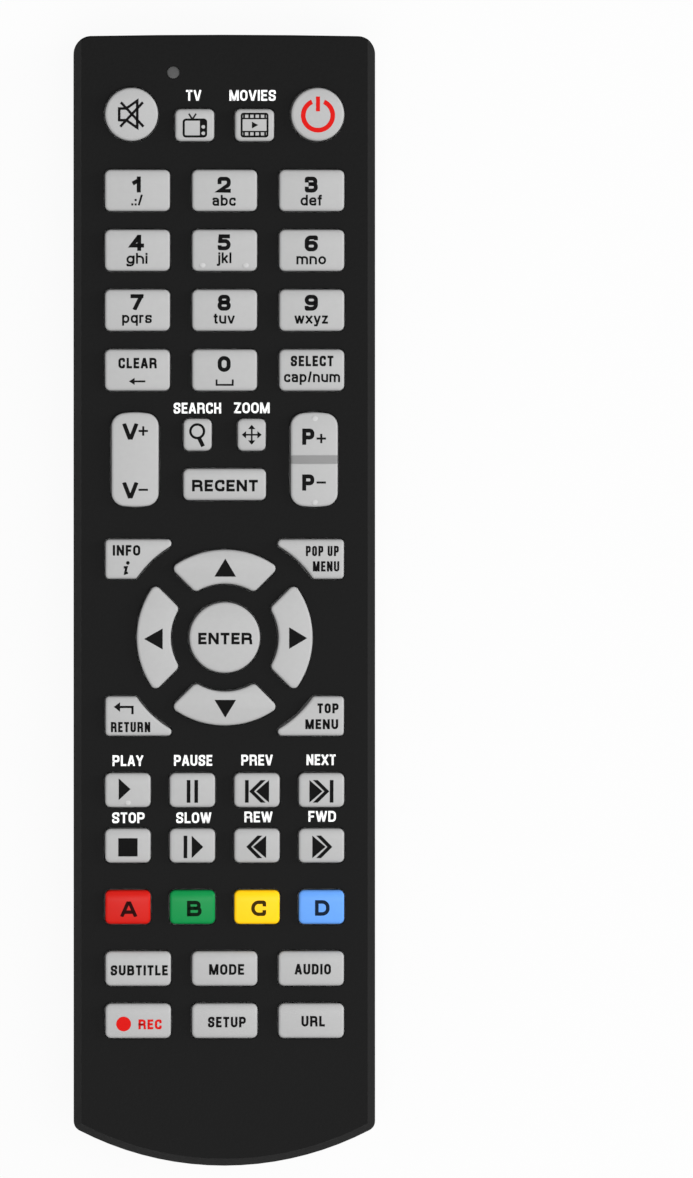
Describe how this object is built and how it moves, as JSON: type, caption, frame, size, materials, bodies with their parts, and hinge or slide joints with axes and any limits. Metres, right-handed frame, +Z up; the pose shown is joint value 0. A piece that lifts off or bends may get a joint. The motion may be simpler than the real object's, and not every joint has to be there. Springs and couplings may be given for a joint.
{
  "type": "backlit remote control",
  "caption": "Slim backlit remote control with rubber keys round a navigation ring, rocker keys, a grooved rear hump with a lighting button, and a sliding battery cover.",
  "frame": {"origin": "middle of the bounding box at the table, with the remote lying on its back", "axes": "+Y to the infrared end, +X to the right seen from the front, +Z up out of the table; the front face leans 1.66 degrees towards the infrared end because the remote rests on its thumb ribs and rear button"},
  "size_m": [0.056, 0.2104, 0.0303],
  "materials": {
    "shell": "fine matte texture",
    "cover": "fine matte texture",
    "rear_button": "smooth satin",
    "key": "translucent silicone",
    "key_red": "translucent silicone",
    "key_green": "translucent silicone",
    "key_yellow": "translucent silicone",
    "key_blue": "translucent silicone",
    "board": "solder mask",
    "mat": "thin silicone sheet",
    "components": "moulded packages",
    "emitter": "tinted clear resin",
    "lens": "smoked clear plastic",
    "cells": "metal can, plain wrap",
    "contacts": "nickel plated spring",
    "screws": "zinc plated"
  },
  "bodies": {
    "case": {"front_shell": "shell", "rear_shell": "shell", "circuit_board": "board", "keypad_mat": "mat", "board_components": "components", "ir_emitter": "emitter", "indicator_lens": "lens", "batteries": "cells", "battery_terminals": "contacts", "case_screws": "screws"},
    "battery_cover": {"battery_cover": "cover"},
    "back_button": {"back_button": "rear_button"},
    "rocker_volume": {"rocker_volume": "key"},
    "rocker_program": {"rocker_program": "key"},
    "key_mute": {"key_mute": "key"},
    "key_power": {"key_power": "key"},
    "key_tv": {"key_tv": "key"},
    "key_movies": {"key_movies": "key"},
    "key_1": {"key_1": "key"},
    "key_2": {"key_2": "key"},
    "key_3": {"key_3": "key"},
    "key_4": {"key_4": "key"},
    "key_5": {"key_5": "key"},
    "key_6": {"key_6": "key"},
    "key_7": {"key_7": "key"},
    "key_8": {"key_8": "key"},
    "key_9": {"key_9": "key"},
    "key_clear": {"key_clear": "key"},
    "key_0": {"key_0": "key"},
    "key_select": {"key_select": "key"},
    "key_search": {"key_search": "key"},
    "key_zoom": {"key_zoom": "key"},
    "key_recent": {"key_recent": "key"},
    "key_info": {"key_info": "key"},
    "key_popup_menu": {"key_popup_menu": "key"},
    "key_up": {"key_up": "key"},
    "key_left": {"key_left": "key"},
    "key_down": {"key_down": "key"},
    "key_right": {"key_right": "key"},
    "key_enter": {"key_enter": "key"},
    "key_return": {"key_return": "key"},
    "key_top_menu": {"key_top_menu": "key"},
    "key_play": {"key_play": "key"},
    "key_pause": {"key_pause": "key"},
    "key_previous": {"key_previous": "key"},
    "key_next": {"key_next": "key"},
    "key_stop": {"key_stop": "key"},
    "key_slow": {"key_slow": "key"},
    "key_rewind": {"key_rewind": "key"},
    "key_forward": {"key_forward": "key"},
    "key_red": {"key_red": "key_red"},
    "key_green": {"key_green": "key_green"},
    "key_yellow": {"key_yellow": "key_yellow"},
    "key_blue": {"key_blue": "key_blue"},
    "key_subtitle": {"key_subtitle": "key"},
    "key_mode": {"key_mode": "key"},
    "key_audio": {"key_audio": "key"},
    "key_record": {"key_record": "key"},
    "key_setup": {"key_setup": "key"},
    "key_web": {"key_web": "key"}
  },
  "joints": [
    {"name": "cover_slide", "type": "slide", "parent": "case", "child": "battery_cover", "axis": [0, -0.9999, 0.0171], "range_m": [0, 0.068]},
    {"name": "press_back_button", "type": "slide", "parent": "case", "child": "back_button", "axis": [0, 0.029, 0.9996], "range_m": [0, 0.001], "stiffness_N_per_m": 1500, "springref_m": -0.0015},
    {"name": "tip_rocker_volume", "type": "hinge", "parent": "case", "child": "rocker_volume", "pos_m": [-0.0166, 0.0264, 0.02427], "axis": [1, 0, 0], "range_deg": [-5, 5], "stiffness_Nm_per_rad": 0.08},
    {"name": "tip_rocker_program", "type": "hinge", "parent": "case", "child": "rocker_program", "pos_m": [0.0166, 0.0264, 0.02427], "axis": [1, 0, 0], "range_deg": [-5, 5], "stiffness_Nm_per_rad": 0.08},
    {"name": "press_key_mute", "type": "slide", "parent": "case", "child": "key_mute", "axis": [0, -0.029, -0.9996], "range_m": [0, 0.001], "stiffness_N_per_m": 900},
    {"name": "press_key_power", "type": "slide", "parent": "case", "child": "key_power", "axis": [0, -0.029, -0.9996], "range_m": [0, 0.001], "stiffness_N_per_m": 900},
    {"name": "press_key_tv", "type": "slide", "parent": "case", "child": "key_tv", "axis": [0, -0.029, -0.9996], "range_m": [0, 0.001], "stiffness_N_per_m": 900},
    {"name": "press_key_movies", "type": "slide", "parent": "case", "child": "key_movies", "axis": [0, -0.029, -0.9996], "range_m": [0, 0.001], "stiffness_N_per_m": 900},
    {"name": "press_key_1", "type": "slide", "parent": "case", "child": "key_1", "axis": [0, -0.029, -0.9996], "range_m": [0, 0.001], "stiffness_N_per_m": 900},
    {"name": "press_key_2", "type": "slide", "parent": "case", "child": "key_2", "axis": [0, -0.029, -0.9996], "range_m": [0, 0.001], "stiffness_N_per_m": 900},
    {"name": "press_key_3", "type": "slide", "parent": "case", "child": "key_3", "axis": [0, -0.029, -0.9996], "range_m": [0, 0.001], "stiffness_N_per_m": 900},
    {"name": "press_key_4", "type": "slide", "parent": "case", "child": "key_4", "axis": [0, -0.029, -0.9996], "range_m": [0, 0.001], "stiffness_N_per_m": 900},
    {"name": "press_key_5", "type": "slide", "parent": "case", "child": "key_5", "axis": [0, -0.029, -0.9996], "range_m": [0, 0.001], "stiffness_N_per_m": 900},
    {"name": "press_key_6", "type": "slide", "parent": "case", "child": "key_6", "axis": [0, -0.029, -0.9996], "range_m": [0, 0.001], "stiffness_N_per_m": 900},
    {"name": "press_key_7", "type": "slide", "parent": "case", "child": "key_7", "axis": [0, -0.029, -0.9996], "range_m": [0, 0.001], "stiffness_N_per_m": 900},
    {"name": "press_key_8", "type": "slide", "parent": "case", "child": "key_8", "axis": [0, -0.029, -0.9996], "range_m": [0, 0.001], "stiffness_N_per_m": 900},
    {"name": "press_key_9", "type": "slide", "parent": "case", "child": "key_9", "axis": [0, -0.029, -0.9996], "range_m": [0, 0.001], "stiffness_N_per_m": 900},
    {"name": "press_key_clear", "type": "slide", "parent": "case", "child": "key_clear", "axis": [0, -0.029, -0.9996], "range_m": [0, 0.001], "stiffness_N_per_m": 900},
    {"name": "press_key_0", "type": "slide", "parent": "case", "child": "key_0", "axis": [0, -0.029, -0.9996], "range_m": [0, 0.001], "stiffness_N_per_m": 900},
    {"name": "press_key_select", "type": "slide", "parent": "case", "child": "key_select", "axis": [0, -0.029, -0.9996], "range_m": [0, 0.001], "stiffness_N_per_m": 900},
    {"name": "press_key_search", "type": "slide", "parent": "case", "child": "key_search", "axis": [0, -0.029, -0.9996], "range_m": [0, 0.001], "stiffness_N_per_m": 900},
    {"name": "press_key_zoom", "type": "slide", "parent": "case", "child": "key_zoom", "axis": [0, -0.029, -0.9996], "range_m": [0, 0.001], "stiffness_N_per_m": 900},
    {"name": "press_key_recent", "type": "slide", "parent": "case", "child": "key_recent", "axis": [0, -0.029, -0.9996], "range_m": [0, 0.001], "stiffness_N_per_m": 900},
    {"name": "press_key_info", "type": "slide", "parent": "case", "child": "key_info", "axis": [0, -0.029, -0.9996], "range_m": [0, 0.001], "stiffness_N_per_m": 900},
    {"name": "press_key_popup_menu", "type": "slide", "parent": "case", "child": "key_popup_menu", "axis": [0, -0.029, -0.9996], "range_m": [0, 0.001], "stiffness_N_per_m": 900},
    {"name": "press_key_up", "type": "slide", "parent": "case", "child": "key_up", "axis": [0, -0.029, -0.9996], "range_m": [0, 0.001], "stiffness_N_per_m": 900},
    {"name": "press_key_left", "type": "slide", "parent": "case", "child": "key_left", "axis": [0, -0.029, -0.9996], "range_m": [0, 0.001], "stiffness_N_per_m": 900},
    {"name": "press_key_down", "type": "slide", "parent": "case", "child": "key_down", "axis": [0, -0.029, -0.9996], "range_m": [0, 0.001], "stiffness_N_per_m": 900},
    {"name": "press_key_right", "type": "slide", "parent": "case", "child": "key_right", "axis": [0, -0.029, -0.9996], "range_m": [0, 0.001], "stiffness_N_per_m": 900},
    {"name": "press_key_enter", "type": "slide", "parent": "case", "child": "key_enter", "axis": [0, -0.029, -0.9996], "range_m": [0, 0.001], "stiffness_N_per_m": 900},
    {"name": "press_key_return", "type": "slide", "parent": "case", "child": "key_return", "axis": [0, -0.029, -0.9996], "range_m": [0, 0.001], "stiffness_N_per_m": 900},
    {"name": "press_key_top_menu", "type": "slide", "parent": "case", "child": "key_top_menu", "axis": [0, -0.029, -0.9996], "range_m": [0, 0.001], "stiffness_N_per_m": 900},
    {"name": "press_key_play", "type": "slide", "parent": "case", "child": "key_play", "axis": [0, -0.029, -0.9996], "range_m": [0, 0.001], "stiffness_N_per_m": 900},
    {"name": "press_key_pause", "type": "slide", "parent": "case", "child": "key_pause", "axis": [0, -0.029, -0.9996], "range_m": [0, 0.001], "stiffness_N_per_m": 900},
    {"name": "press_key_previous", "type": "slide", "parent": "case", "child": "key_previous", "axis": [0, -0.029, -0.9996], "range_m": [0, 0.001], "stiffness_N_per_m": 900},
    {"name": "press_key_next", "type": "slide", "parent": "case", "child": "key_next", "axis": [0, -0.029, -0.9996], "range_m": [0, 0.001], "stiffness_N_per_m": 900},
    {"name": "press_key_stop", "type": "slide", "parent": "case", "child": "key_stop", "axis": [0, -0.029, -0.9996], "range_m": [0, 0.001], "stiffness_N_per_m": 900},
    {"name": "press_key_slow", "type": "slide", "parent": "case", "child": "key_slow", "axis": [0, -0.029, -0.9996], "range_m": [0, 0.001], "stiffness_N_per_m": 900},
    {"name": "press_key_rewind", "type": "slide", "parent": "case", "child": "key_rewind", "axis": [0, -0.029, -0.9996], "range_m": [0, 0.001], "stiffness_N_per_m": 900},
    {"name": "press_key_forward", "type": "slide", "parent": "case", "child": "key_forward", "axis": [0, -0.029, -0.9996], "range_m": [0, 0.001], "stiffness_N_per_m": 900},
    {"name": "press_key_red", "type": "slide", "parent": "case", "child": "key_red", "axis": [0, -0.029, -0.9996], "range_m": [0, 0.001], "stiffness_N_per_m": 900},
    {"name": "press_key_green", "type": "slide", "parent": "case", "child": "key_green", "axis": [0, -0.029, -0.9996], "range_m": [0, 0.001], "stiffness_N_per_m": 900},
    {"name": "press_key_yellow", "type": "slide", "parent": "case", "child": "key_yellow", "axis": [0, -0.029, -0.9996], "range_m": [0, 0.001], "stiffness_N_per_m": 900},
    {"name": "press_key_blue", "type": "slide", "parent": "case", "child": "key_blue", "axis": [0, -0.029, -0.9996], "range_m": [0, 0.001], "stiffness_N_per_m": 900},
    {"name": "press_key_subtitle", "type": "slide", "parent": "case", "child": "key_subtitle", "axis": [0, -0.029, -0.9996], "range_m": [0, 0.001], "stiffness_N_per_m": 900},
    {"name": "press_key_mode", "type": "slide", "parent": "case", "child": "key_mode", "axis": [0, -0.029, -0.9996], "range_m": [0, 0.001], "stiffness_N_per_m": 900},
    {"name": "press_key_audio", "type": "slide", "parent": "case", "child": "key_audio", "axis": [0, -0.029, -0.9996], "range_m": [0, 0.001], "stiffness_N_per_m": 900},
    {"name": "press_key_record", "type": "slide", "parent": "case", "child": "key_record", "axis": [0, -0.029, -0.9996], "range_m": [0, 0.001], "stiffness_N_per_m": 900},
    {"name": "press_key_setup", "type": "slide", "parent": "case", "child": "key_setup", "axis": [0, -0.029, -0.9996], "range_m": [0, 0.001], "stiffness_N_per_m": 900},
    {"name": "press_key_web", "type": "slide", "parent": "case", "child": "key_web", "axis": [0, -0.029, -0.9996], "range_m": [0, 0.001], "stiffness_N_per_m": 900}
  ]
}
